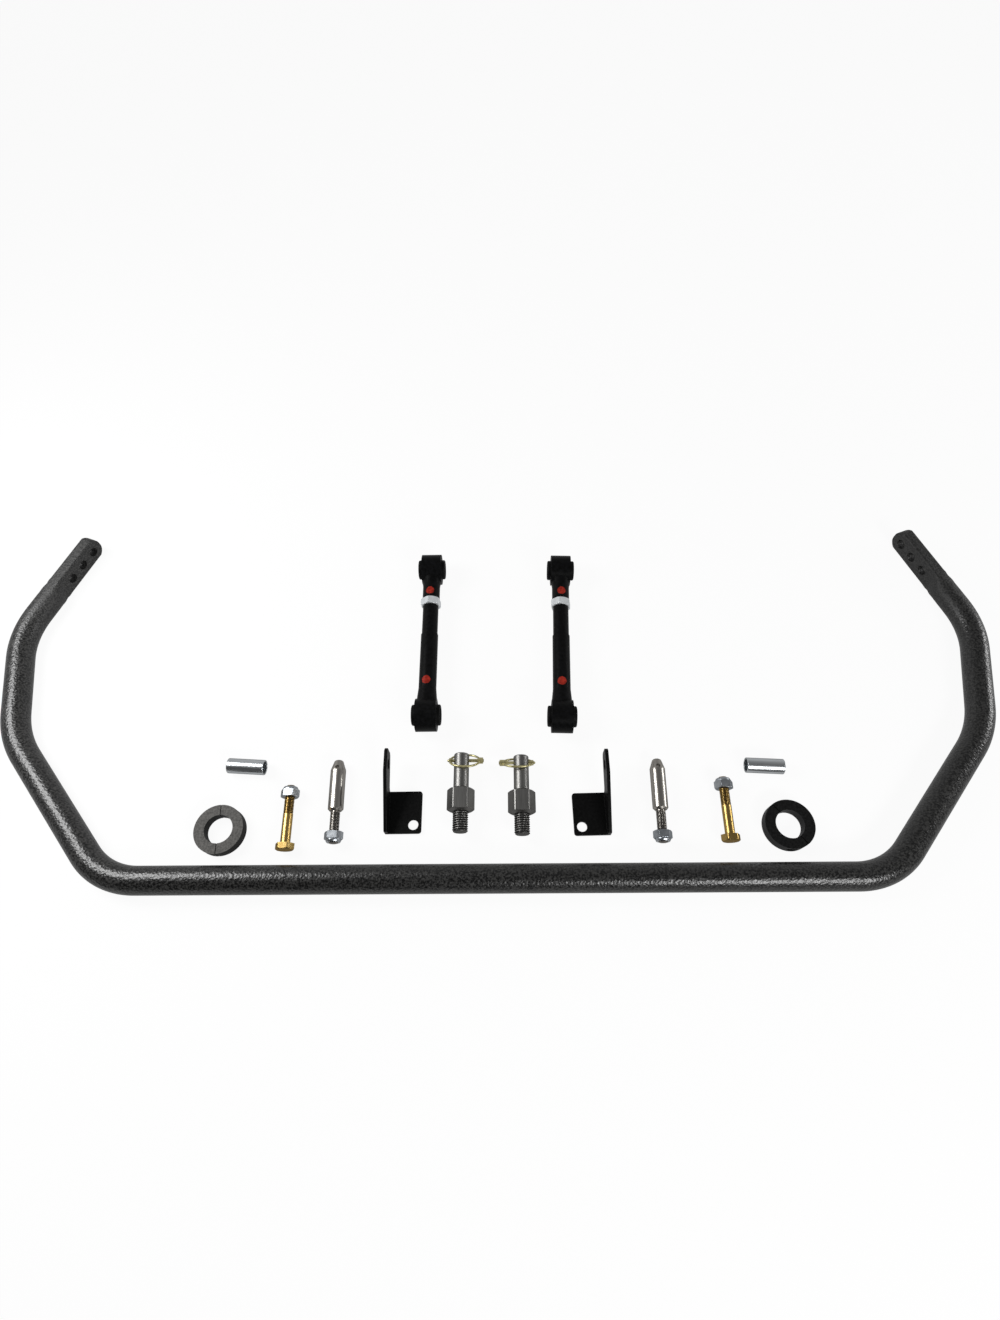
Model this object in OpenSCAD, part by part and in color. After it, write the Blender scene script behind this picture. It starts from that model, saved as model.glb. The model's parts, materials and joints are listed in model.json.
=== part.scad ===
// Sway bar kit laid out flat: bar, two adjustable end links and the loose mounting hardware.
// Millimetres, +Z up, everything stands on z = 0.

/* [Bar] */
// diameter of the round bar
bar_d = 28.6; // [27:0.1:30]
// half distance between the two main corners
corner_x = 387; // [380:1:394]
// outward position of the shoulder bend
shoulder_x = 520; // [514:1:526]
// reach of the shoulder bend from the main axis
shoulder_y = 151; // [146:1:156]
// outward position of the elbow before the paddle
elbow_x = 549; // [544:1:556]
// reach of the elbow from the main axis
elbow_y = 277; // [270:1:284]
// bend radius at the main corner
corner_r = 76; // [66:1:90]
// bend radius at the shoulder
shoulder_r = 114; // [95:1:130]
// bend radius at the elbow
elbow_r = 100; // [85:1:110]
// inward lean of the paddle from straight back
paddle_lean = 20.8; // [18:0.2:24]
// thickness of the flattened paddle
paddle_t = 14; // [12:0.5:16]
// distance between neighbouring paddle holes
hole_pitch = 20.6; // [19:0.1:22]
// paddle hole diameter
hole_d = 11.5; // [10.5:0.1:12.5]
// distance from the elbow to the first paddle hole
first_hole = 86.8; // [84:0.2:92]

/* [End links] */
// outer diameter of both link eyes
eye_d = 36; // [34:0.5:38]
// width of the eye barrels
eye_w = 23; // [21:0.5:25]
// hole in the eye barrel that takes the bushing
eye_bore = 30; // [28:0.5:31]
// diameter of the bushing ends that stand out of the eye
boss_d = 23; // [21.5:0.5:25]
// width over both bushing halves
bushing_w = 31.5; // [29.5:0.5:34]
// distance from eye to eye as adjusted
link_length = 189; // [184:1:196]
// diameter of the link tube
tube_d = 19.6; // [19:0.1:21]
// diameter of the tapped end of the tube
tapped_d = 18; // [17:0.1:18.8]
// diameter of the screwed shank on the adjustable eye
shank_d = 12; // [11:0.5:13]
// jam nut size across flats
jam_af = 21; // [20:0.5:22]
// jam nut thickness
jam_t = 9.2; // [8:0.2:12]

/* [Posts and clips] */
// diameter of the post shaft and of its screwed end
post_d = 15.9; // [14.5:0.1:17]
// post hex size across flats
post_af = 25.4; // [24:0.1:27]
// length of the post hex
post_hex_l = 25; // [22:0.5:28]
// length of the screwed end
post_screw_l = 20.5; // [18:0.5:23]
// length of the plain shaft
post_shaft_l = 37; // [34:0.5:40]
// diameter of the clip pin
pin_d = 3.6; // [3:0.1:4]
// diameter of the ring wire
wire_d = 2.4; // [2:0.1:2.8]
// half length of the clip ring along its pin
ring_r = 15.75; // [15.5:0.25:16.5]
// half width of the clip ring across its pin
ring_b = 13.6; // [13.4:0.1:13.8]
// sideways offset of the ring from the post axis
ring_off = 3.5; // [2.5:0.25:4]
// lean of the left ring
lean_l = 46; // [45:1:52]
// lean of the right ring
lean_r = 55; // [49:1:55]

/* [Brackets] */
// plate thickness
plate_t = 3.6; // [3:0.2:4.4]
// width of the foot beside the upright
foot_w = 33.7; // [31:0.1:35]
// length of the foot
foot_l = 44; // [42:0.5:46]
// length of the upright flange
upright_l = 81; // [78:1:84]
// height of the upright flange at its far end
upright_h = 38; // [36:0.5:40]
// bolt hole in the foot and in the upright
bracket_hole_d = 10.5; // [10:0.1:11.5]

/* [Studs and bolts] */
// diameter of the stud body
stud_d = 15.9; // [14.5:0.1:16.6]
// length of the stud body with its nose
stud_body_l = 54.5; // [50:0.5:58]
// thread diameter of the bolts and the studs
screw_d = 10; // [9.5:0.1:10.5]
// length of a bolt under its head
bolt_length = 60; // [58:0.5:64]
// size across flats of bolt heads and lock nuts
nut_af = 17; // [16.5:0.1:18]
// thickness of the hex part of a lock nut
nut_t = 8; // [7:0.2:9]

/* [Sleeves and collars] */
// outer diameter of a sleeve
sleeve_d = 16; // [15:0.1:17]
// bore of a sleeve
sleeve_bore = 12.6; // [10.6:0.1:13]
// length of a sleeve
sleeve_length = 39; // [36:0.5:42]
// outer diameter of a clamp collar
collar_d = 50; // [47:0.5:51]
// thickness of a clamp collar
collar_t = 12; // [11:0.2:13]
// width of the saw cut between the collar halves
collar_cut = 0.8; // [0.6:0.1:1.4]

/* [Hidden] */
$fn = 64;
// clearances: turning pairs and the bar in its collar
run = 0.05;
collar_clear = 0.15;
bar_r = bar_d / 2;
// the bends draw the bar down a little, and the straights lap over them
bend_in = 0.1;
lap = 2;
// bend angles of the right arm, anticlockwise from +X
run_out = atan2(shoulder_y, shoulder_x - corner_x);
run_back = atan2(elbow_y - shoulder_y, elbow_x - shoulder_x);
run_end = 90 + paddle_lean;
corner_l = corner_r * tan(run_out / 2);
shoulder_l = shoulder_r * tan((run_back - run_out) / 2);
elbow_l = elbow_r * tan((run_end - run_back) / 2);
last_hole = first_hole + 2 * hole_pitch;
tip = last_hole + bar_r;
tip_r = bar_r + 1.7;
taper_back = 34;
taper_end = 12;
plate_back = 19;
taper_from = first_hole - taper_back;
taper_to = first_hole - taper_end;
plate_from = first_hole - plate_back;
plate_h = bar_d - 0.6;
// the far edge of the paddle tips, used to centre the kit on the origin
far_y = elbow_y + tip * cos(paddle_lean) + paddle_t / 2 * sin(paddle_lean);
shift_y = (bar_r - far_y) / 2;
// where each item lies: x, distance from the main axis of the bar, turn
link_lies_l = [-74.8, 171.4, 0.3];
link_lies_r = [72.2, 168.6, -1.8];
post_lies_l = [-35.8, 45.8, 0];
post_lies_r = [27, 43, 0];
bracket_lies_l = [-110.1, 47, 0.4];
bracket_lies_r = [114.1, 44.6, 1.1];
stud_lies_l = [-164.1, 36.3, 1.7];
stud_lies_r = [168.7, 35.3, -1.4];
bolt_lies_l = [-212.6, 30, 1.6];
bolt_lies_r = [236.9, 36, -0.7];
sleeve_lies_l = [-264.6, 118, -3.6];
sleeve_lies_r = [283.9, 114.8, -3];
collar_lies_l = [-281.9, 50.8, 2.6];
collar_lies_r = [298, 52.3, 35];
// link stations measured from the lower eye
eye_r = eye_d / 2;
nut_back = 52;
step_back = 90;
// the jam nut has a corner near the top
jam_turn = 20;
nut_from = link_length - nut_back;
neck_from = nut_from + jam_t;
step_at = link_length - step_back;
shank_from = step_at + 4;
neck_d = 20;
flare_l = 7;
boss_l = (bushing_w - eye_w) / 2;
bushing_bore = post_d + 2 * run;
// posts
post_z = post_af / 2;
post_length = post_screw_l + post_hex_l + post_shaft_l;
pin_at = post_length - 7;
pin_hole_d = pin_d + 2 * run;
// clip ends measured from the post axis
ring_from = ring_off - ring_r;
ring_to = ring_off + ring_r;
ring_flat = ring_r - ring_b;
// studs and bolts
screw_z = nut_af / 2;
nut_corner = nut_af / cos(30);
insert_t = 2.4;
insert_d = screw_d + 3;
stud_screw_l = 33;
stud_nut_at = 10;
head_h = 6.4;
bolt_past_nut = 12.4;
bolt_nut_at = bolt_length - bolt_past_nut;
// bracket: length of the flat top of the arm
arm_top = 25;
// collars
collar_bore = bar_d + 2 * collar_clear;
wall_mid = (collar_d + collar_bore) / 4;
// clamp screws of the collars
clamp_d = 4;
clamp_head_d = 7;
clamp_end = 8;
seat_at = 6;

// places an item on the floor
module lay(spot) translate([spot[0], spot[1] + shift_y, 0]) rotate([0, 0, spot[2]]) children();
// round rod along +Y and along X
module rod_y(d, from, to) translate([0, from, 0]) rotate([-90, 0, 0]) cylinder(d = d, h = to - from);
module rod_x(d, from, to) translate([from, 0, 0]) rotate([0, 90, 0]) cylinder(d = d, h = to - from);
module cone_y(d1, d2, from, to) translate([0, from, 0]) rotate([-90, 0, 0]) cylinder(d1 = d1, d2 = d2, h = to - from);
// hexagon along +Y lying on a flat
module hex_y(af, from, to)
    translate([0, from, 0]) rotate([-90, 0, 0]) cylinder(d = af / cos(30), h = to - from, $fn = 6);

// bar
module bend(x, y, a, turn, r)
    translate([x - r * tan(turn / 2) * cos(a) - r * sin(a), y - r * tan(turn / 2) * sin(a) + r * cos(a), 0])
        rotate([0, 0, a - 90]) rotate_extrude(angle = turn) translate([r, 0]) circle(d = bar_d - 2 * bend_in);
// straight run that laps over the bends at both ends
module straight(x, y, a, from, to)
    translate([x, y, 0]) rotate([0, 0, a]) rod_x(bar_d, from - lap, to + lap);
module paddle() {
    difference() {
        union() {
            // the round bar, pressed thinner towards the plate
            intersection() {
                rod_x(bar_d, elbow_l - lap, taper_to);
                translate([0, 0, -bar_d]) linear_extrude(2 * bar_d)
                    polygon([[-bar_d, -bar_d], [taper_from, -bar_r - 0.5], [taper_to + 1, 1 - paddle_t / 2],
                        [taper_to + 1, paddle_t / 2 - 1], [taper_from, bar_r + 0.5], [-bar_d, bar_d]]);
            }
            // flat plate with a rounded tip
            rotate([90, 0, 0]) translate([0, 0, -paddle_t / 2]) linear_extrude(paddle_t) intersection() {
                translate([plate_from, -plate_h / 2]) square([tip - plate_from + 1, plate_h]);
                union() {
                    translate([plate_from - 1, -bar_d]) square([tip - tip_r - plate_from + 1, 2 * bar_d]);
                    translate([tip - tip_r, 0]) circle(r = tip_r);
                }
            }
        }
        for (i = [0 : 2]) translate([first_hole + i * hole_pitch, 0, 0]) rotate([90, 0, 0])
            cylinder(d = hole_d, h = 2 * bar_d, center = true);
    }
}
module arm() {
    bend(corner_x, 0, 0, run_out, corner_r);
    straight(corner_x, 0, run_out, corner_l,
        norm([shoulder_x - corner_x, shoulder_y]) - shoulder_l);
    bend(shoulder_x, shoulder_y, run_out, run_back - run_out, shoulder_r);
    straight(shoulder_x, shoulder_y, run_back, shoulder_l,
        norm([elbow_x - shoulder_x, elbow_y - shoulder_y]) - elbow_l);
    bend(elbow_x, elbow_y, run_back, run_end - run_back, elbow_r);
    translate([elbow_x, elbow_y, 0]) rotate([0, 0, run_end]) paddle();
}
module sway_bar() color([0.13, 0.13, 0.13]) lay([0, 0, 0]) translate([0, 0, bar_r]) {
    straight(0, 0, 0, corner_l - corner_x, corner_x - corner_l);
    arm();
    mirror([1, 0, 0]) arm();
}

// end link: fixed lower eye on a tube
module link_tube() color([0.07, 0.07, 0.07]) difference() {
    union() {
        rod_x(eye_d, -eye_w / 2, eye_w / 2);
        cone_y(eye_w, tube_d, eye_r - 4, eye_r + 2 * flare_l);
        rod_y(tube_d, eye_r + 4, step_at);
        rod_y(tapped_d, step_at, nut_from);
    }
    rod_x(eye_bore, -eye_w, eye_w);
    rod_y(shank_d + 2 * run, shank_from - 16, nut_from + 1);
}
// adjustable eye with its screwed shank
module link_eye() color([0.07, 0.07, 0.07]) difference() {
    union() {
        translate([0, link_length, 0]) rod_x(eye_d, -eye_w / 2, eye_w / 2);
        rod_y(neck_d, neck_from, link_length - eye_r + 3);
        cone_y(neck_d, eye_w, link_length - eye_r - flare_l, link_length - eye_r + 4);
        rod_y(shank_d, shank_from, neck_from + 1);
    }
    translate([0, link_length, 0]) rod_x(eye_bore, -eye_w, eye_w);
}
module jam_nut() color([0.7, 0.72, 0.74]) difference() {
    intersection() {
        rotate([0, jam_turn, 0]) hex_y(jam_af, nut_from, neck_from);
        chamfer_y(jam_af, nut_from, neck_from, 1.2);
    }
    rod_y(shank_d + 2 * run, nut_from - 1, neck_from + 1);
}
// round envelope that takes the corners off both ends of a hexagon
module chamfer_y(af, from, to, c) {
    cone_y(af - 0.6, af / cos(30) + 0.4, from, from + c);
    rod_y(af / cos(30) + 0.4, from + c, to - c);
    cone_y(af / cos(30) + 0.4, af - 0.6, to - c, to);
}
// half bushing on the +X side of an eye
module bush_half() color([0.04, 0.04, 0.04]) difference() {
    union() {
        rod_x(eye_bore, 0, eye_w / 2);
        rod_x(boss_d, eye_w / 2, eye_w / 2 + boss_l - 1);
        translate([eye_w / 2 + boss_l - 1, 0, 0]) rotate([0, 90, 0]) cylinder(d1 = boss_d, d2 = boss_d - 2, h = 1);
    }
    rod_x(bushing_bore, -1, bushing_w);
}
module link_at(side)
    if (side > 0) lay(link_lies_r) translate([0, 0, eye_r]) children();
    else lay(link_lies_l) translate([0, 0, eye_r]) children();
module up() translate([0, link_length, 0]) children();

// post with a hex, and its ring clip
module post() color([0.3, 0.3, 0.29]) difference() {
    union() {
        cone_y(post_d - 2.4, post_d, 0, 1.5);
        rod_y(post_d, 1.5, post_length - 1);
        cone_y(post_d, post_d - 2, post_length - 1, post_length);
        intersection() {
            hex_y(post_af, post_screw_l, post_screw_l + post_hex_l);
            union() {
                cone_y(post_d + 2.6, post_d + 16, post_screw_l, post_screw_l + 5.4);
                rod_y(post_d + 16, post_screw_l + 5.4, post_screw_l + post_hex_l - 5.4);
                cone_y(post_d + 16, post_d + 2.6, post_screw_l + post_hex_l - 5.4, post_screw_l + post_hex_l);
            }
        }
    }
    translate([0, pin_at, 0]) rod_x(pin_hole_d, -post_d, post_d);
}
// clip with its pointed end on the -X side; the ring leans over the shaft on its near side
module clip_pin() color([0.72, 0.6, 0.3]) translate([0, pin_at, 0]) {
    rod_x(pin_d, ring_from - 1, ring_to + 4.2);
    translate([ring_from - 1, 0, 0]) rotate([0, -90, 0]) cylinder(d1 = pin_d, d2 = 1.6, h = 1.8);
}
module clip_ring(lean) color([0.72, 0.6, 0.3]) translate([0, pin_at, 0]) rotate([-lean, 0, 0]) difference() {
    union() {
        for (end = [-1, 1]) translate([ring_off + end * ring_flat, 0, 0]) rotate([0, 0, -90 * end])
            rotate_extrude(angle = 180) translate([ring_b, 0]) circle(d = wire_d - 2 * run);
        for (end = [-1, 1]) translate([0, end * ring_b, 0])
            rod_x(wire_d, ring_off - ring_flat - 0.5, ring_off + ring_flat + 0.5);
        rod_x(pin_d + 3, ring_to - 1.8, ring_to + 3.4);
        rod_x(pin_d + 2, ring_from - 0.8, ring_from + 1.6);
    }
    rod_x(pin_d, ring_from - 5, ring_to + 5);
}
module post_at(side)
    if (side > 0) lay(post_lies_r) translate([0, 0, post_z]) children();
    else lay(post_lies_l) translate([0, 0, post_z]) children();

// bracket: foot on the floor, upright along its outer side with an arm that rises away (right-hand one)
module bracket() color([0.05, 0.05, 0.05]) difference() {
    union() {
        translate([-foot_w, 0, 0]) linear_extrude(plate_t) union() {
            translate([3, 0]) square([foot_w + plate_t - 3, foot_l]);
            translate([0, 3]) square([foot_w, foot_l - 6]);
            translate([3, 3]) circle(r = 3);
            translate([3, foot_l - 3]) circle(r = 3);
        }
        rotate([90, 0, 90]) linear_extrude(plate_t)
            polygon([[0, 0], [foot_l, 0], [foot_l, 6.5], [foot_l + 3, 9.5], [upright_l - 3, 18], [upright_l, 21],
                [upright_l, upright_h - 3], [upright_l - 3, upright_h], [upright_l - arm_top, upright_h - 1], [0, 11.5]]);
    }
    translate([8.4 - foot_w, 8.8, -1]) cylinder(d = bracket_hole_d, h = plate_t + 2);
    translate([0, upright_l - 15, upright_h - 10.5]) rod_x(bracket_hole_d, -1, plate_t + 1);
}
module bracket_at(side)
    if (side > 0) lay(bracket_lies_r) children();
    else lay(bracket_lies_l) mirror([1, 0, 0]) children();

// bullet nose stud with a lock nut on its screwed end
module stud() color([0.6, 0.58, 0.54]) difference() {
    union() {
        rod_y(screw_d, 0, stud_screw_l + 1);
        cone_y(screw_d + 2.4, stud_d, stud_screw_l, stud_screw_l + 2);
        rod_y(stud_d, stud_screw_l + 2, stud_screw_l + stud_body_l - 11);
        intersection() {
            cone_y(stud_d, stud_d - 7.4, stud_screw_l + stud_body_l - 11, stud_screw_l + stud_body_l);
            translate([0, stud_screw_l + stud_body_l - 12, 0]) sphere(r = 12);
        }
    }
    translate([0, stud_screw_l + stud_body_l - 9, 0]) cylinder(d = pin_d + 0.6, h = 2 * stud_d, center = true);
}
// hex lock nut: plain end at y = 0, the collar with the insert at the far end
module lock_nut() color([0.7, 0.72, 0.74]) difference() {
    union() {
        intersection() {
            hex_y(nut_af, 0, nut_t);
            chamfer_y(nut_af, 0, nut_t, 0.9);
        }
        rod_y(nut_af - 1.4, nut_t - 0.5, nut_t + 1);
        cone_y(nut_af - 1.4, nut_af - 3.2, nut_t + 1, nut_t + insert_t + 0.3);
    }
    rod_y(screw_d + 2 * run, -1, nut_t + 1);
    rod_y(insert_d + 2 * run, nut_t, nut_t + insert_t + 1);
}
module nut_insert() color([0.85, 0.86, 0.88]) difference() {
    rod_y(insert_d, nut_t + 0.1, nut_t + insert_t);
    rod_y(screw_d + 2 * run, nut_t - 1, nut_t + insert_t + 1);
}
module stud_at(side)
    if (side > 0) lay(stud_lies_r) translate([0, 0, screw_z]) children();
    else lay(stud_lies_l) translate([0, 0, screw_z]) children();
// the stud's lock nut faces its insert to the open end
module stud_nut_place() translate([0, stud_nut_at + 1.6, 0]) mirror([0, 1, 0]) children();

// hex head bolt with a lock nut near its end
module bolt() color([0.75, 0.58, 0.2]) {
    intersection() {
        hex_y(nut_af, 0, head_h);
        union() {
            cone_y(nut_af - 0.6, nut_corner + 0.4, 0, 1.2);
            rod_y(nut_corner + 0.4, 1.2, head_h + 1);
        }
    }
    rod_y(screw_d, head_h - 1, head_h + bolt_length - 1.2);
    cone_y(screw_d, screw_d - 2, head_h + bolt_length - 1.2, head_h + bolt_length);
}
module bolt_nut_place() translate([0, head_h + bolt_nut_at, 0]) children();
module bolt_at(side)
    if (side > 0) lay(bolt_lies_r) translate([0, 0, screw_z]) children();
    else lay(bolt_lies_l) translate([0, 0, screw_z]) children();

// plain sleeve
module sleeve() color([0.75, 0.77, 0.79]) difference() {
    rod_x(sleeve_d, -sleeve_length / 2, sleeve_length / 2);
    rod_x(sleeve_bore, -sleeve_length, sleeve_length);
}
module sleeve_at(side)
    if (side > 0) lay(sleeve_lies_r) translate([0, 0, sleeve_d / 2]) children();
    else lay(sleeve_lies_l) translate([0, 0, sleeve_d / 2]) children();

// clamp collar: the half on the +X side, and the screw that goes in from that side
module collar_half() color([0.28, 0.28, 0.28]) difference() {
    intersection() {
        cylinder(d = collar_d, h = collar_t);
        translate([collar_cut / 2, -collar_d, -1]) cube([collar_d, 2 * collar_d, collar_t + 2]);
    }
    translate([0, 0, -1]) cylinder(d = collar_bore, h = collar_t + 2);
    // hole and head pocket of its own screw
    translate([0, wall_mid, collar_t / 2]) rod_x(clamp_d + 4 * run, -1, collar_d);
    translate([0, wall_mid, collar_t / 2]) rod_x(clamp_head_d + 0.6, seat_at, collar_d);
    // tapped hole for the screw of the other half
    translate([0, -wall_mid, collar_t / 2]) rod_x(clamp_d + 2 * run, -1, clamp_end + 1);
}
module collar_screw() color([0.12, 0.12, 0.12]) translate([0, wall_mid, collar_t / 2]) difference() {
    union() {
        rod_x(clamp_d, -clamp_end, seat_at + 1);
        rod_x(clamp_head_d, seat_at, seat_at + clamp_d);
    }
    translate([seat_at + 2, 0, 0]) rotate([0, 90, 0]) cylinder(d = clamp_d, h = clamp_d, $fn = 6);
}
module collar_at(side)
    if (side > 0) lay(collar_lies_r) children();
    else lay(collar_lies_l) children();

module link_tube_l() link_at(-1) link_tube();
module link_tube_r() link_at(1) link_tube();
module link_eye_l() link_at(-1) link_eye();
module link_eye_r() link_at(1) link_eye();
module jam_nut_l() link_at(-1) jam_nut();
module jam_nut_r() link_at(1) jam_nut();
module bush_low_a_l() link_at(-1) bush_half();
module bush_low_b_l() link_at(-1) mirror([1, 0, 0]) bush_half();
module bush_up_a_l() link_at(-1) up() bush_half();
module bush_up_b_l() link_at(-1) up() mirror([1, 0, 0]) bush_half();
module bush_low_a_r() link_at(1) bush_half();
module bush_low_b_r() link_at(1) mirror([1, 0, 0]) bush_half();
module bush_up_a_r() link_at(1) up() bush_half();
module bush_up_b_r() link_at(1) up() mirror([1, 0, 0]) bush_half();
module post_l() post_at(-1) post();
module post_r() post_at(1) post();
module clip_pin_l() post_at(-1) clip_pin();
module clip_pin_r() post_at(1) mirror([1, 0, 0]) clip_pin();
module clip_ring_l() post_at(-1) clip_ring(lean_l);
module clip_ring_r() post_at(1) mirror([1, 0, 0]) clip_ring(lean_r);
module bracket_l() bracket_at(-1) bracket();
module bracket_r() bracket_at(1) bracket();
module stud_l() stud_at(-1) stud();
module stud_r() stud_at(1) stud();
module stud_nut_l() stud_at(-1) stud_nut_place() lock_nut();
module stud_nut_r() stud_at(1) stud_nut_place() lock_nut();
module stud_insert_l() stud_at(-1) stud_nut_place() nut_insert();
module stud_insert_r() stud_at(1) stud_nut_place() nut_insert();
module bolt_l() bolt_at(-1) bolt();
module bolt_r() bolt_at(1) bolt();
module bolt_nut_l() bolt_at(-1) bolt_nut_place() lock_nut();
module bolt_nut_r() bolt_at(1) bolt_nut_place() lock_nut();
module bolt_insert_l() bolt_at(-1) bolt_nut_place() nut_insert();
module bolt_insert_r() bolt_at(1) bolt_nut_place() nut_insert();
module sleeve_l() sleeve_at(-1) sleeve();
module sleeve_r() sleeve_at(1) sleeve();
module collar_a_l() collar_at(-1) collar_half();
module collar_b_l() collar_at(-1) rotate([0, 0, 180]) collar_half();
module collar_screw_a_l() collar_at(-1) collar_screw();
module collar_screw_b_l() collar_at(-1) rotate([0, 0, 180]) collar_screw();
module collar_a_r() collar_at(1) collar_half();
module collar_b_r() collar_at(1) rotate([0, 0, 180]) collar_half();
module collar_screw_a_r() collar_at(1) collar_screw();
module collar_screw_b_r() collar_at(1) rotate([0, 0, 180]) collar_screw();

sway_bar();
link_tube_l();
bush_low_a_l();
bush_low_b_l();
link_eye_l();
bush_up_a_l();
bush_up_b_l();
jam_nut_l();
link_tube_r();
bush_low_a_r();
bush_low_b_r();
link_eye_r();
bush_up_a_r();
bush_up_b_r();
jam_nut_r();
post_l();
clip_pin_l();
clip_ring_l();
post_r();
clip_pin_r();
clip_ring_r();
bracket_l();
bracket_r();
stud_l();
stud_insert_l();
stud_nut_l();
stud_r();
stud_insert_r();
stud_nut_r();
bolt_l();
bolt_insert_l();
bolt_nut_l();
bolt_r();
bolt_insert_r();
bolt_nut_r();
sleeve_l();
sleeve_r();
collar_a_l();
collar_b_l();
collar_screw_a_l();
collar_screw_b_l();
collar_a_r();
collar_b_r();
collar_screw_a_r();
collar_screw_b_r();
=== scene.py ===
"""Sway bar kit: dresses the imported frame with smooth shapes, threads and finishes for the photo's view."""
import json
import math
import bmesh
import bpy
from mathutils import Matrix, Vector


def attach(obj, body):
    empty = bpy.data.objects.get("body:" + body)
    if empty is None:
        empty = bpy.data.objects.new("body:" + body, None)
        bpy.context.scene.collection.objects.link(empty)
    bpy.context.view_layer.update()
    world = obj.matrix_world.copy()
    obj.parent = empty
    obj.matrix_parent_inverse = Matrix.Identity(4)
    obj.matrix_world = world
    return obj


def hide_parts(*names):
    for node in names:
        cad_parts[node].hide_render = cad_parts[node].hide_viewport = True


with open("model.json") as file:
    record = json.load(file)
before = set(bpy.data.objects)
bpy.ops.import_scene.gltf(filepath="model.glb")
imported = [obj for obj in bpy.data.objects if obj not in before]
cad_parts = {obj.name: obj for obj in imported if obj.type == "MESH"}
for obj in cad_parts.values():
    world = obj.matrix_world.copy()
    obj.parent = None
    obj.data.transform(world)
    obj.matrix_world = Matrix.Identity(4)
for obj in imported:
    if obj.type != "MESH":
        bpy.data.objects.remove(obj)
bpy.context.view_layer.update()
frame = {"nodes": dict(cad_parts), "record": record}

# sizes of pieces are in mm, Blender's are in metres
MM = 0.001
SIDES = ("l", "r")

# y of the bar's main axis in the frame
SHIFT_Y = -199.1057

BODY_OF = {}
for body_name, members in frame["record"]["behaviour"]["bodies"].items():
    for member in members:
        BODY_OF[member] = body_name


# placing: x and distance from the bar's main axis in mm, turn in degrees, height of the axis
def place(x, y, turn, z):
    spot = Matrix.Translation((x * MM, (y + SHIFT_Y) * MM, z * MM))
    return spot @ Matrix.Rotation(math.radians(turn), 4, "Z")


AT = {
    "post_l": place(-35.8, 45.8, 0.0, 12.7),
    "post_r": place(27.0, 43.0, 0.0, 12.7),
    "stud_l": place(-164.1, 36.3, 1.7, 8.5),
    "stud_r": place(168.7, 35.3, -1.4, 8.5),
    "bolt_l": place(-212.6, 30.0, 1.6, 8.5),
    "bolt_r": place(236.9, 36.0, -0.7, 8.5),
}


# material helpers: a value is a socket or a plain number
def material(name):
    mat = bpy.data.materials.new(name)
    mat.use_nodes = True
    tree = mat.node_tree
    shader = tree.nodes["Principled BSDF"]
    return mat, tree, shader


def object_coords(tree):
    return tree.nodes.new("ShaderNodeTexCoord").outputs["Object"]


def parts_of(tree, vector):
    node = tree.nodes.new("ShaderNodeSeparateXYZ")
    tree.links.new(vector, node.inputs["Vector"])
    return node.outputs


def math_step(tree, operation, *values):
    node = tree.nodes.new("ShaderNodeMath")
    node.operation = operation
    for index, value in enumerate(values):
        if isinstance(value, float):
            node.inputs[index].default_value = value
        else:
            tree.links.new(value, node.inputs[index])
    return node.outputs["Value"]


def vector_step(tree, operation, first, second=None):
    node = tree.nodes.new("ShaderNodeVectorMath")
    node.operation = operation
    tree.links.new(first, node.inputs[0])
    if second is not None:
        node.inputs[1].default_value = second
    return node.outputs


def map_range(tree, value, source, target):
    node = tree.nodes.new("ShaderNodeMapRange")
    node.inputs["From Min"].default_value = source[0]
    node.inputs["From Max"].default_value = source[1]
    node.inputs["To Min"].default_value = target[0]
    node.inputs["To Max"].default_value = target[1]
    tree.links.new(value, node.inputs["Value"])
    return node.outputs["Result"]


def mix_colours(tree, share, first, second):
    node = tree.nodes.new("ShaderNodeMix")
    node.data_type = "RGBA"
    tree.links.new(share, node.inputs["Factor"])
    tree.links.new(first, node.inputs["A"])
    if isinstance(second, tuple):
        node.inputs["B"].default_value = second
    else:
        tree.links.new(second, node.inputs["B"])
    return node.outputs["Result"]


# scale: about how many grains there are to a metre
def noise(tree, scale, detail=4.0, stretch=None):
    tex = tree.nodes.new("ShaderNodeTexNoise")
    tex.inputs["Scale"].default_value = scale
    tex.inputs["Detail"].default_value = detail
    source = object_coords(tree)
    if stretch is not None:
        mapping = tree.nodes.new("ShaderNodeMapping")
        mapping.inputs["Scale"].default_value = stretch
        tree.links.new(source, mapping.inputs["Vector"])
        source = mapping.outputs["Vector"]
    tree.links.new(source, tex.inputs["Vector"])
    return tex.outputs["Fac"]


# noise values that count as lowest and highest, for tones and for a spread of any other value
TONE_ENDS = (0.35, 0.65)
SPREAD_ENDS = (0.3, 0.7)


def two_tone(tree, fac, dark, light, ends=TONE_ENDS):
    node = tree.nodes.new("ShaderNodeValToRGB")
    for element, at, colour in zip(node.color_ramp.elements, ends, (dark, light)):
        element.position = at
        element.color = (colour[0], colour[1], colour[2], 1.0)
    tree.links.new(fac, node.inputs["Fac"])
    return node.outputs["Color"]


def spread(tree, fac, low, high):
    return map_range(tree, fac, SPREAD_ENDS, (low, high))


def bump(tree, shader, height, strength, depth):
    node = tree.nodes.new("ShaderNodeBump")
    node.inputs["Strength"].default_value = strength
    node.inputs["Distance"].default_value = depth
    tree.links.new(height, node.inputs["Height"])
    tree.links.new(node.outputs["Normal"], shader.inputs["Normal"])


def grey(value):
    return (value, value, value)


# worn metal reflects less at its edges than a perfect mirror
METAL_EDGE = (0.35, 0.35, 0.35, 1.0)

# detail of the noise that stands for relief
RELIEF_DETAIL = 2.0


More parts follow.
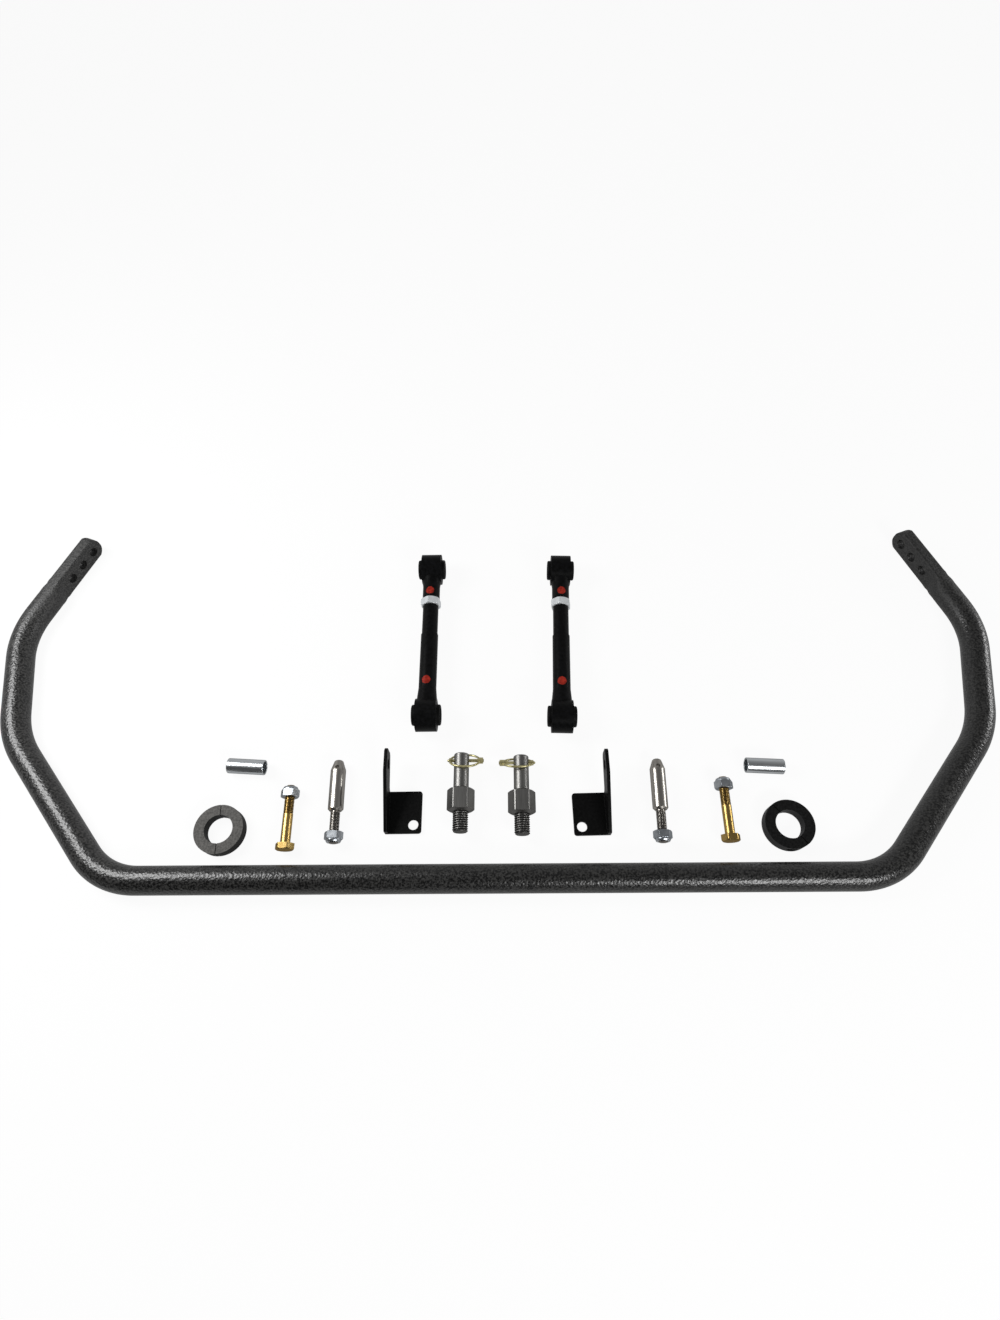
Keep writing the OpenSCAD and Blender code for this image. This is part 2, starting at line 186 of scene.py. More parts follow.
# relief: grain, strength and depth in metres of a rough surface
def finish_of(name, dark, light, rough, metal, grain, relief=None, specular=0.5, stretch=None):
    mat, tree, shader = material(name)
    fac = noise(tree, grain, stretch=stretch)
    tree.links.new(two_tone(tree, fac, dark, light), shader.inputs["Base Color"])
    tree.links.new(spread(tree, fac, rough[0], rough[1]), shader.inputs["Roughness"])
    shader.inputs["Metallic"].default_value = metal
    shader.inputs["Specular IOR Level"].default_value = specular
    if metal == 1.0:
        shader.inputs["Specular Tint"].default_value = METAL_EDGE
    if relief is not None:
        bump(tree, shader, noise(tree, relief[0], RELIEF_DETAIL), relief[1], relief[2])
    return mat


# round dabs of red paint on the links, as spots in the black coat, with an uneven edge, in mm
RED_DABS = [(-76.2, 126.6, 27.5), (77.6, 124.6, 27.5), (-75.9, 10.9, 27.6), (73.2, 8.0, 27.6)]
DAB_R = (4.6, 5.2)
DAB_GRAIN = 500.0


def dab_mask(tree):
    edge = spread(tree, noise(tree, DAB_GRAIN), DAB_R[0] * MM, DAB_R[1] * MM)
    mask = 0.0
    for spot in RED_DABS:
        gap = vector_step(tree, "DISTANCE", object_coords(tree), [value * MM for value in spot])
        inside = math_step(tree, "LESS_THAN", gap["Value"], edge)
        mask = math_step(tree, "MAXIMUM", mask, inside)
    return mask


LINK_BLACK = (grey(0.003), (0.0055, 0.0055, 0.006))
DAB_RED = ((0.17, 0.012, 0.008), (0.36, 0.03, 0.018))
LINK_GRAIN = 300.0
LINK_ROUGH = (0.3, 0.38)
LINK_SPECULAR = 0.07


def link_finish():
    mat, tree, shader = material("link_coat")
    fac = noise(tree, LINK_GRAIN)
    black = two_tone(tree, fac, *LINK_BLACK)
    red = two_tone(tree, fac, *DAB_RED)
    tree.links.new(mix_colours(tree, dab_mask(tree), black, red), shader.inputs["Base Color"])
    tree.links.new(spread(tree, fac, *LINK_ROUGH), shader.inputs["Roughness"])
    shader.inputs["Specular IOR Level"].default_value = LINK_SPECULAR
    return mat


# hammered black coat: small dimples with a fine grain between them, duller towards the paddles;
# DULL_Y is where the dulling starts and where it is full, in metres
BAR_BLACK = ((0.002, 0.002, 0.0021), (0.031, 0.0305, 0.0295))
BAR_DIMPLES = 430.0
DIMPLE_SOFTNESS = 0.35
DIMPLE_DEPTH = 0.0003
BAR_GRAIN = 520.0
BAR_GRAIN_DETAIL = 1.0
BAR_TONE_ENDS = (0.4, 0.62)
BAR_ROUGH = (0.27, 0.36)
BAR_SPECULAR = 0.6
DULL_Y = (0.07, 0.12)
DULL_ROUGH = 0.26


def bar_finish():
    mat, tree, shader = material("bar_coat")
    cells = tree.nodes.new("ShaderNodeTexVoronoi")
    cells.feature = "SMOOTH_F1"
    cells.inputs["Scale"].default_value = BAR_DIMPLES
    cells.inputs["Smoothness"].default_value = DIMPLE_SOFTNESS
    tree.links.new(object_coords(tree), cells.inputs["Vector"])
    fine = noise(tree, BAR_GRAIN, BAR_GRAIN_DETAIL)
    coat = two_tone(tree, fine, *BAR_BLACK, BAR_TONE_ENDS)
    dull = map_range(tree, parts_of(tree, object_coords(tree))["Y"], DULL_Y, (0.0, DULL_ROUGH))
    rough = math_step(tree, "ADD", spread(tree, fine, *BAR_ROUGH), dull)
    tree.links.new(coat, shader.inputs["Base Color"])
    tree.links.new(rough, shader.inputs["Roughness"])
    shader.inputs["Specular IOR Level"].default_value = BAR_SPECULAR
    bump(tree, shader, cells.outputs["Distance"], 1.0, DIMPLE_DEPTH)
    return mat


# split collar with bare milled faces and blackened walls, told apart by how far a face looks up
COLLAR_WALL = (grey(0.004), grey(0.01))
COLLAR_FACE = ((0.06, 0.058, 0.055), (0.125, 0.121, 0.115))
COLLAR_GRAIN = 520.0
COLLAR_ROUGH = (0.45, 0.6)
COLLAR_SPECULAR = 0.1
COLLAR_RELIEF = (700.0, 0.3, 0.0004)
FACE_UP = (0.75, 0.95)


def collar_finish():
    mat, tree, shader = material("collar_grey")
    fac = noise(tree, COLLAR_GRAIN)
    facing = parts_of(tree, tree.nodes.new("ShaderNodeTexCoord").outputs["Normal"])
    up = map_range(tree, facing["Z"], FACE_UP, (0.0, 1.0))
    wall = two_tone(tree, fac, *COLLAR_WALL)
    face = two_tone(tree, fac, *COLLAR_FACE)
    tree.links.new(mix_colours(tree, up, wall, face), shader.inputs["Base Color"])
    tree.links.new(spread(tree, fac, *COLLAR_ROUGH), shader.inputs["Roughness"])
    shader.inputs["Specular IOR Level"].default_value = COLLAR_SPECULAR
    grain, strength, depth = COLLAR_RELIEF
    bump(tree, shader, noise(tree, grain, RELIEF_DETAIL), strength, depth)
    return mat


# grain drawn out along a piece: posts, studs and bolts lie along Y, sleeves along X
ALONG_Y = (1.0, 0.05, 1.0)
ALONG_X = (0.05, 1.0, 1.0)

# plain finishes: darker and lighter colour, roughness, share of metal, grain, and what else differs
PLAIN_FINISHES = {
    "bushing": (grey(0.003), grey(0.006), (0.45, 0.6), 0.0, 200.0, {"specular": 0.1}),
    "zinc": ((0.42, 0.45, 0.48), (0.52, 0.55, 0.58), (0.3, 0.36), 1.0, 240.0, {}),
    "clip_zinc": ((0.46, 0.41, 0.2), (0.6, 0.55, 0.3), (0.32, 0.38), 0.75, 260.0, {}),
    "bracket_coat": (grey(0.0022), grey(0.0052), (0.36, 0.44), 0.0, 500.0,
                     {"relief": (900.0, 0.1, 0.0003), "specular": 0.1}),
    "nylon": ((0.55, 0.57, 0.6), (0.64, 0.66, 0.68), (0.4, 0.5), 0.0, 200.0, {}),
    "collar_black": (grey(0.004), grey(0.01), (0.4, 0.5), 0.0, 420.0, {"specular": 0.12}),
    "screw_black": (grey(0.01), grey(0.03), (0.3, 0.4), 0.4, 500.0, {}),
    "sleeve_plate": ((0.64, 0.67, 0.69), (0.71, 0.74, 0.76), (0.27, 0.29), 1.0, 900.0,
                     {"stretch": ALONG_X}),
    "jam_nut_plate": ((0.7, 0.73, 0.75), (0.8, 0.83, 0.85), (0.34, 0.4), 0.45, 240.0, {}),
}

MATS = {"bar_coat": bar_finish(), "link_coat": link_finish(), "collar_grey": collar_finish()}
for finish_name, (dark, light, rough, metal, grain, extras) in PLAIN_FINISHES.items():
    MATS[finish_name] = finish_of(finish_name, dark, light, rough, metal, grain, **extras)

# sleeves and jam nuts have the zinc slot too, with a brighter plate of their own
OWN = {"sleeve_": MATS["sleeve_plate"], "jam_nut_": MATS["jam_nut_plate"]}

# turned metal: name, darker and lighter colour, roughness
TURNED = {
    "post": ("post_steel", (0.195, 0.192, 0.185), (0.235, 0.231, 0.223), (0.41, 0.43)),
    "stud": ("stud_nickel", (0.4, 0.38, 0.35), (0.45, 0.43, 0.395), (0.28, 0.3)),
    "bolt": ("bolt_gold", (0.44, 0.29, 0.09), (0.53, 0.365, 0.135), (0.31, 0.33)),
}
TURNED_GRAIN = 900.0

# threads in mm: where each starts and ends along its piece, outer radius, pitch
THREADS = {
    "post": (0.0, 20.5, 7.95, 2.31),
    "stud": (0.0, 31.5, 5.0, 1.5),
    "bolt": (36.6, 66.4, 5.0, 1.5),
}

# depth of a thread for each mm of pitch
THREAD_DEPTH = 0.5

# painted shade, with oil, darkening the grooves: its colour, its largest share, and the length left unshaded
# at each end in mm
SHADE_AND_OIL = (0.01, 0.009, 0.008, 1.0)
GROOVE_SHARE = 0.85
SHADE_MARGIN = 0.3


# painted shade: darker the nearer a point of the thread is to the piece's axis, so darkest deep in the
# grooves
def turned_finish(kind, side):
    name, dark, light, rough = TURNED[kind]
    start, end, major, pitch = THREADS[kind]
    mat = finish_of(name + "_" + side, dark, light, rough, 1.0, TURNED_GRAIN, stretch=ALONG_Y)
    tree = mat.node_tree
    shader = tree.nodes["Principled BSDF"]
    matrix = AT[kind + "_" + side]
    ahead = matrix.to_3x3() @ Vector((0, 1, 0))
    away = vector_step(tree, "SUBTRACT", object_coords(tree), matrix.translation)
    across = vector_step(tree, "CROSS_PRODUCT", away["Vector"], ahead)
    radius = vector_step(tree, "LENGTH", across["Vector"])
    along = vector_step(tree, "DOT_PRODUCT", away["Vector"], ahead)
    middle = (start + end) / 2 * MM
    half = ((end - start) / 2 - SHADE_MARGIN) * MM
    on_thread = math_step(tree, "COMPARE", along["Value"], middle, half)
    depths = (major * MM, (major - THREAD_DEPTH * pitch) * MM)
    # painted groove shade, with oil: darker the deeper a point lies in the thread
    groove = map_range(tree, radius["Value"], depths, (0.0, GROOVE_SHARE))
    share = math_step(tree, "MULTIPLY", on_thread, groove)
    bare = shader.inputs["Base Color"].links[0].from_socket
    tree.links.new(mix_colours(tree, share, bare, SHADE_AND_OIL), shader.inputs["Base Color"])
    return mat


for kind in TURNED:
    for which in SIDES:
        OWN[kind + "_" + which] = turned_finish(kind, which)

# slots by the start of a node's name: the first that fits counts
SLOTS = [
    ("sway_bar", "bar_coat"), ("link_", "link_coat"), ("bush_", "bushing"), ("jam_nut", "zinc"),
    ("post_", "post_steel"), ("clip_", "clip_zinc"), ("bracket_", "bracket_coat"), ("stud_nut", "zinc"),
    ("stud_insert", "nylon"), ("stud_", "stud_nickel"), ("bolt_nut", "zinc"), ("bolt_insert", "nylon"),
    ("bolt_", "bolt_gold"), ("sleeve_", "zinc"), ("collar_screw", "screw_black"),
]


def slot_of(node):
    for start, slot in SLOTS:
        if node.startswith(start):
            return slot
    return "collar_grey" if node.endswith("_l") else "collar_black"


def finish_for(node):
    for start, finish in OWN.items():
        if node.startswith(start):
            return finish
    return MATS[slot_of(node)]


def paint(obj, node):
    obj.data.materials.clear()
    obj.data.materials.append(finish_for(node))


for node_name, node_obj in frame["nodes"].items():
    paint(node_obj, node_name)

# mesh helpers: points nearer than MERGE metres are one, edges over a SHARP angle in degrees stay sharp
MERGE = 1e-6
CUTTER_SHARP = 35.0
BAR_SHARP = 40.0
TURNED_SHARP = 22.0
CUTTER_SIDES = 48


def shade_smooth(mesh):
    mesh.polygons.foreach_set("use_smooth", [True] * len(mesh.polygons))


def tidy_mesh(mesh, angle):
    work = bmesh.new()
    work.from_mesh(mesh)
    bmesh.ops.remove_doubles(work, verts=work.verts, dist=MERGE)
    bmesh.ops.recalc_face_normals(work, faces=work.faces)
    work.to_mesh(mesh)
    work.free()
    shade_smooth(mesh)
    mesh.set_sharp_from_angle(angle=math.radians(angle))


def add_object(name, data):
    obj = bpy.data.objects.new(name, data)
    bpy.context.scene.collection.objects.link(obj)
    return obj


# turns an object's modifiers into its mesh
def apply_modifiers(obj):
    graph = bpy.context.evaluated_depsgraph_get()
    mesh = bpy.data.meshes.new_from_object(obj.evaluated_get(graph))
    obj.modifiers.clear()
    obj.data = mesh


def skin(rings):
    count = len(rings[0])
    points = [point for ring in rings for point in ring]
    faces = []
    for row in range(len(rings) - 1):
        for col in range(count):
            after = (col + 1) % count
            faces.append((row * count + col, row * count + after,
                          (row + 1) * count + after, (row + 1) * count + col))
    faces.append(tuple(range(count)))
    faces.append(tuple(range((len(rings) - 1) * count, len(rings) * count)))
    return points, faces


def solid(name, rings, angle):
    points, faces = skin(rings)
    mesh = bpy.data.meshes.new(name)
    mesh.from_pydata(points, [], faces)
    tidy_mesh(mesh, angle)
    return add_object(name, mesh)


def cut(obj, cutters, angle):
    for cutter in cutters:
        step = obj.modifiers.new("cut", "BOOLEAN")
        step.operation = "DIFFERENCE"
        step.solver = "EXACT"
        step.object = cutter
    apply_modifiers(obj)
    for cutter in cutters:
        bpy.data.objects.remove(cutter)
    tidy_mesh(obj.data, angle)


def rod(radius, middle, axis, length):
    turn = Vector((0, 0, 1)).rotation_difference(Vector(axis)).to_matrix().to_4x4()
    matrix = Matrix.Translation(middle) @ turn
    rings = []
    for end in (-length / 2, length / 2):
        ring = []
        for step in range(CUTTER_SIDES):
            a = 2 * math.pi * step / CUTTER_SIDES
            ring.append(matrix @ Vector((radius * math.cos(a), radius * math.sin(a), end)))
        rings.append(ring)
    return solid("cutter", rings, CUTTER_SHARP)


def stand_for(obj, node):
    paint(obj, node)
    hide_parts(node)
    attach(obj, BODY_OF[node])


# nodes whose own shape is right, with their sharp edges eased by the given width in mm
EASED = [
    ("link_tube_", 0.5), ("link_eye_", 0.5), ("bush_low_a_", 0.5), ("bush_low_b_", 0.5),
    ("bush_up_a_", 0.5), ("bush_up_b_", 0.5), ("jam_nut_", 0.4), ("bracket_", 0.6),
    ("stud_nut_", 0.35), ("bolt_nut_", 0.35), ("sleeve_", 0.5), ("collar_a_", 0.5), ("collar_b_", 0.5),
]

# angles in degrees: faces that count as one, and edges that are eased;
# FACE_WEIGHT is how strongly the large faces set the shading
ONE_FACE = 0.5
EASE_OVER = 35.0
EASE_SEGMENTS = 2
FACE_WEIGHT = 80


def ease(node, width):
    mesh = frame["nodes"][node].data.copy()
    work = bmesh.new()
    work.from_mesh(mesh)
    bmesh.ops.remove_doubles(work, verts=work.verts, dist=MERGE)
    bmesh.ops.dissolve_limit(work, angle_limit=math.radians(ONE_FACE), verts=work.verts, edges=work.edges)
    work.to_mesh(mesh)
    work.free()
    shade_smooth(mesh)
    obj = add_object(node + "_eased", mesh)
    edge = obj.modifiers.new("edge", "BEVEL")
    edge.width = width * MM
    edge.segments = EASE_SEGMENTS
    edge.limit_method = "ANGLE"
    edge.angle_limit = math.radians(EASE_OVER)
    even = obj.modifiers.new("even", "WEIGHTED_NORMAL")
    even.weight = FACE_WEIGHT
    apply_modifiers(obj)
    stand_for(obj, node)


for eased_start, eased_width in EASED:
    for which in SIDES:
        ease(eased_start + which, eased_width)

# turned pieces: sides of a ring, rings for each pitch of thread, and the length of a plain band in mm
TURNED_SIDES = 144
THREAD_RINGS = 10
BAND = 2.0

# thread form: how far the crest and then the flank reach, as shares of half a pitch
THREAD_CREST = 0.22
THREAD_FLANK = 0.55

# corners of a hex are turned back to this share of their full radius
HEX_CORNER = 0.973
CHAMFER_STEPS = 8


# radius functions of turned pieces, in mm: t is the angle from +X towards +Z
def round_at(radius):
    return lambda t: radius


def hex_at(flats, limit):
    def radius(t):
        off = (math.degrees(t) % 60.0) - 30.0
        return min(flats / 2 / math.cos(math.radians(off)), limit)
    return radius


def thread_at(y, major, pitch, limit):
    depth = THREAD_DEPTH * pitch

    def radius(t):
        part = (y / pitch + t / (2 * math.pi)) % 1.0
        rise = abs(part - 0.5) * 2
        fall = min(1.0, max(0.0, (rise - THREAD_CREST) / THREAD_FLANK))
        return min(major - depth * fall, limit)
    return radius


# stations of a turned piece: each is a place along its axis and a radius function
def rounds(stations, profile):
    for y, radius in profile:
        stations.append((y, round_at(radius)))


def threaded(stations, start, end, major, pitch, blunt_start=0.0, blunt_end=0.0):
    count = int((end - start) / pitch * THREAD_RINGS)
    for step in range(count + 1):
        y = start + (end - start) * step / count
        limit = major
        if blunt_start > 0:
            limit = min(limit, major - max(0.0, blunt_start - (y - start)))
        if blunt_end > 0:
            limit = min(limit, major - max(0.0, blunt_end - (end - y)))
        stations.append((y, thread_at(y, major, pitch, limit)))


# a chamfer is its length along the axis and the radius that it starts from
def hexed(stations, start, end, flats, chamfer_start, chamfer_end):
    corner = HEX_CORNER * flats / math.sqrt(3)
    length, tip = chamfer_start
    for step in range(CHAMFER_STEPS + 1):
        part = step / CHAMFER_STEPS
        stations.append((start + length * part, hex_at(flats, tip + (corner - tip) * part)))
    length, tip = chamfer_end
    for step in range(CHAMFER_STEPS + 1):
        part = 1 - step / CHAMFER_STEPS
        stations.append((end - length * part, hex_at(flats, tip + (corner - tip) * part)))


# plain shaft in short bands, so that a hole cut in one leaves the others smooth
def plain(stations, start, end, radius):
    count = max(1, round((end - start) / BAND))
    for step in range(count + 1):
        stations.append((start + (end - start) * step / count, round_at(radius)))


def turned(name, stations, matrix):
    rings = []
    for y, radius in stations:
        ring = []
        for step in range(TURNED_SIDES):
            t = 2 * math.pi * step / TURNED_SIDES
            r = radius(t)
            ring.append(matrix @ Vector((r * math.cos(t) * MM, y * MM, r * math.sin(t) * MM)))
        rings.append(ring)
    return solid(name, rings, TURNED_SHARP)


# bar: one sweep along its bends, flattened towards the paddle tips, in mm;
# BAR_R keeps it 0.2 mm inside the solid's straight runs and 0.1 mm inside its bends, BAR_Z is its axis
BAR_R = 14.1
BAR_Z = 14.3

# each bend: x and y of its corner, and its radius
CORNERS = [(387.0, 0.0, 76.0), (520.0, 151.0, 114.0), (549.0, 277.0, 100.0)]

# paddle: places are measured along it from the last corner, HOLE_CUT is the length of a hole's cutter
PADDLE_HEADING = math.radians(110.8)
PADDLE_HOLES = 3
FIRST_HOLE = 86.8
HOLE_PITCH = 20.6
HOLE_R = 5.75
HOLE_CUT = 60.0
PADDLE_HALF = 7.0
PADDLE_RISE = 14.0
TIP_EDGE = 2.0
TIP_BEYOND = 14.2
TIP = FIRST_HOLE + (PADDLE_HOLES - 1) * HOLE_PITCH + TIP_BEYOND
TIP_R = 16.0

# run from round to flat: where it starts and ends, and how the section's power grows in two steps
FLATTENED = (50.0, 74.0)
ROUND_POWER = 2.0
SOFTER = (52.0, 66.0)
SOFTER_POWER = 1.5
SQUARER = (65.0, 72.0)
SQUARER_POWER = 6.5

# how finely the sweep is divided: mm on straight runs and paddles, degrees in bends
STRAIGHT_STEP = 8
BEND_STEP = 2.5
PADDLE_STEP = 2.0
TIP_STEPS = 25
BAR_SIDES = 96

# square of the least half height at the very tip
LEAST_RISE_SQUARED = 0.3

# distance along the paddle that stands for a station before it
NOT_PADDLE = -1.0


def arm_stations():
    headings = [0.0]
    for (x0, y0, _), (x1, y1, _) in zip(CORNERS, CORNERS[1:]):
        headings.append(math.atan2(y1 - y0, x1 - x0))
    headings.append(PADDLE_HEADING)
    stations = []
    here = Vector((0.0, 0.0))
    for index, (x, y, radius) in enumerate(CORNERS):
        before = headings[index]
        after = headings[index + 1]
        reach = radius * math.tan((after - before) / 2)
        stop = Vector((x - reach * math.cos(before), y - reach * math.sin(before)))
        steps = max(2, int((stop - here).length / STRAIGHT_STEP))
        for step in range(steps):
            stations.append((here.lerp(stop, step / steps), before, NOT_PADDLE))
        centre = stop + radius * Vector((-math.sin(before), math.cos(before)))
        bends = max(4, int(math.degrees(after - before) / BEND_STEP))
        for step in range(bends):
            a = before + (after - before) * step / bends
            spot = centre + radius * Vector((math.sin(a), -math.cos(a)))
            stations.append((spot, a, NOT_PADDLE))
        here = Vector((x + reach * math.cos(after), y + reach * math.sin(after)))
        last_reach = reach
    elbow = Vector((CORNERS[-1][0], CORNERS[-1][1]))
    ahead = Vector((math.cos(PADDLE_HEADING), math.sin(PADDLE_HEADING)))
    along = last_reach
    spots = []
    while along < TIP - TIP_R:
        spots.append(along)
        along += PADDLE_STEP
    for step in range(TIP_STEPS):
        spots.append(TIP - TIP_R + TIP_R * math.sin(math.radians(90.0 * step / TIP_STEPS)))
    for along in spots:
        stations.append((elbow + along * ahead, PADDLE_HEADING, along))
    return stations


def smooth_step(value, ends):
    start, end = ends
    part = min(1.0, max(0.0, (value - start) / (end - start)))
    return part * part * (3 - 2 * part)


# half thickness, half height and power of the bar's section; a power of 2 is round
def bar_section(along):
    thin = BAR_R
    tall = BAR_R
    power = ROUND_POWER
    if along > 0:
        part = smooth_step(along, FLATTENED)
        thin = BAR_R + (PADDLE_HALF - BAR_R) * part
        tall = BAR_R + (PADDLE_RISE - BAR_R) * part
        power += SOFTER_POWER * smooth_step(along, SOFTER) + SQUARER_POWER * smooth_step(along, SQUARER)
        over = along - (TIP - TIP_R)
        if over > 0:
            tall = min(tall, math.sqrt(max(LEAST_RISE_SQUARED, TIP_R * TIP_R - over * over)))
        last = along - (TIP - TIP_EDGE)
        if last > 0:
            thin -= TIP_EDGE - math.sqrt(max(0.0, TIP_EDGE * TIP_EDGE - last * last))
    return thin, tall, power


def bar_ring(spot, heading, along, side):
    thin, tall, power = bar_section(along)
    ring = []
    for step in range(BAR_SIDES):
        a = 2 * math.pi * step / BAR_SIDES
        flat = (abs(math.cos(a)) / thin) ** power + (abs(math.sin(a)) / tall) ** power
        reach = flat ** (-1 / power)
        across = reach * math.cos(a)
        x = spot.x - across * math.sin(heading)
        y = spot.y + across * math.cos(heading)
        z = BAR_Z + reach * math.sin(a)
        ring.append(Vector((side * x * MM, (y + SHIFT_Y) * MM, z * MM)))
    return ring


def build_bar():
    stations = arm_stations()
    right = [bar_ring(spot, heading, along, 1) for spot, heading, along in stations]
    left = [bar_ring(spot, heading, along, -1) for spot, heading, along in stations[1:]]
    obj = solid("bar_sweep", list(reversed(left)) + right, BAR_SHARP)
    cutters = []
    for side in (1, -1):
        for index in range(PADDLE_HOLES):
            along = FIRST_HOLE + index * HOLE_PITCH
            x = CORNERS[-1][0] + along * math.cos(PADDLE_HEADING)
            y = CORNERS[-1][1] + along * math.sin(PADDLE_HEADING)
            axis = (-math.sin(PADDLE_HEADING) * side, math.cos(PADDLE_HEADING), 0)
            middle = (side * x * MM, (y + SHIFT_Y) * MM, BAR_Z * MM)
            cutters.append(rod(HOLE_R * MM, middle, axis, HOLE_CUT * MM))
    cut(obj, cutters, BAR_SHARP)
    stand_for(obj, "sway_bar")


build_bar()

# posts, studs and bolts with cut threads, in mm along each piece's own axis;
# a profile lists places with their radius; a hole is its place and radius; blunt is a thread's bevel;
# CROSS_CUT is the length of a cross hole's cutter
CROSS_CUT = 30.0

POST_BLUNT = 1.2
POST_HEX = (20.5, 45.5)
POST_FLATS = 25.4
POST_CHAMFER = (2.268, 9.25)
POST_ROOT = [(45.5, 8.3)]
POST_SHAFT = (45.9, 81.5, 7.95)
POST_TIP = [(82.2, 7.5), (82.5, 6.95)]
POST_HOLE = (75.5, 1.85)

STUD_BLUNT = 0.9
STUD_NECK = [(31.8, 4.3), (33.0, 4.4), (33.0, 6.2)]
STUD_BODY = (35.0, 76.5, 7.95)
STUD_NOSE_L = 9.6
STUD_NOSE_DROP = 3.25
STUD_NOSE_STEPS = 8
STUD_TIP = [(86.9, 3.9), (87.5, 2.6)]
STUD_HOLE = (78.5, 2.1)

BOLT_HEAD = (0.0, 6.4)
BOLT_FLATS = 17.0
BOLT_TOP = (1.0, 8.2)
BOLT_UNDER = (0.01, 9.8)
BOLT_SHANK = [(6.4, 5.0), (36.4, 5.0)]
BOLT_BLUNT = 1.1


def drill(obj, matrix, hole, axis):
    at, radius = hole
    middle = matrix @ Vector((0, at * MM, 0))
    cut(obj, [rod(radius * MM, middle, axis, CROSS_CUT * MM)], TURNED_SHARP)


def build_post(side):
    stations = []
    threaded(stations, *THREADS["post"], blunt_start=POST_BLUNT)
    hexed(stations, *POST_HEX, POST_FLATS, POST_CHAMFER, POST_CHAMFER)
    rounds(stations, POST_ROOT)
    plain(stations, *POST_SHAFT)
    rounds(stations, POST_TIP)
    matrix = AT["post_" + side]
    obj = turned("post_cut_" + side, stations, matrix)
    drill(obj, matrix, POST_HOLE, matrix.to_3x3() @ Vector((1, 0, 0)))
    stand_for(obj, "post_" + side)


def build_stud(side):
    stations = []
    threaded(stations, *THREADS["stud"], blunt_start=STUD_BLUNT)
    rounds(stations, STUD_NECK)
    plain(stations, *STUD_BODY)
    _, body_end, body_r = STUD_BODY
    for step in range(1, STUD_NOSE_STEPS + 1):
        part = step / STUD_NOSE_STEPS
        stations.append((body_end + STUD_NOSE_L * part, round_at(body_r - STUD_NOSE_DROP * part)))
    rounds(stations, STUD_TIP)
    matrix = AT["stud_" + side]
    obj = turned("stud_cut_" + side, stations, matrix)
    drill(obj, matrix, STUD_HOLE, (0, 0, 1))
    stand_for(obj, "stud_" + side)


def build_bolt(side):
    stations = []
    hexed(stations, *BOLT_HEAD, BOLT_FLATS, BOLT_TOP, BOLT_UNDER)
    rounds(stations, BOLT_SHANK)
    threaded(stations, *THREADS["bolt"], blunt_end=BOLT_BLUNT)
    obj = turned("bolt_cut_" + side, stations, AT["bolt_" + side])
    stand_for(obj, "bolt_" + side)


for which in SIDES:
    build_post(which)
    build_stud(which)
    build_bolt(which)

WHITE = (1.0, 1.0, 1.0, 1.0)
PAPER = (0.9, 0.9, 0.9, 1.0)
FLOOR_REACH = 6.0
FLOOR_Z = -0.0004
GLOW_SHARE = 0.94
MIRRORED_LOSS = 0.5


def build_floor():
    mesh = bpy.data.meshes.new("floor")
    corners = [(-1, -1), (1, -1), (1, 1), (-1, 1)]
    points = [(x * FLOOR_REACH, y * FLOOR_REACH, FLOOR_Z) for x, y in corners]
    mesh.from_pydata(points, [], [(0, 1, 2, 3)])
    floor = add_object("floor", mesh)
    mat = bpy.data.materials.new("floor_paper")
    mat.use_nodes = True
    tree = mat.node_tree
    tree.nodes.clear()
    out = tree.nodes.new("ShaderNodeOutputMaterial")
    mix = tree.nodes.new("ShaderNodeMixShader")
    paper = tree.nodes.new("ShaderNodeBsdfDiffuse")
    paper.inputs["Color"].default_value = PAPER
    glow = tree.nodes.new("ShaderNodeEmission")
    glow.inputs["Color"].default_value = WHITE
    ray = tree.nodes.new("ShaderNodeLightPath").outputs
    loss = math_step(tree, "MULTIPLY", ray["Is Glossy Ray"], MIRRORED_LOSS)
    tree.links.new(math_step(tree, "SUBTRACT", 1.0, loss), glow.inputs["Strength"])
    seen = math_step(tree, "MAXIMUM", ray["Is Camera Ray"], ray["Is Glossy Ray"])
    seen = math_step(tree, "MAXIMUM", seen, ray["Is Transmission Ray"])
    tree.links.new(math_step(tree, "MULTIPLY", seen, GLOW_SHARE), mix.inputs["Fac"])
    tree.links.new(paper.outputs["BSDF"], mix.inputs[1])
    tree.links.new(glow.outputs["Emission"], mix.inputs[2])
    tree.links.new(mix.outputs["Shader"], out.inputs["Surface"])
    floor.data.materials.append(mat)


build_floor()

# sky: white to the eye; as light it is dim, brighter behind and low, darker in front and overhead;
# each pair of ranges: the direction's part from and to, and the strength that it gives
SKY_BEHIND = ((-0.6, 0.4), (0.15, 1.0))
SKY_HEIGHT = ((0.2, 0.85), (0.5, 0.2))


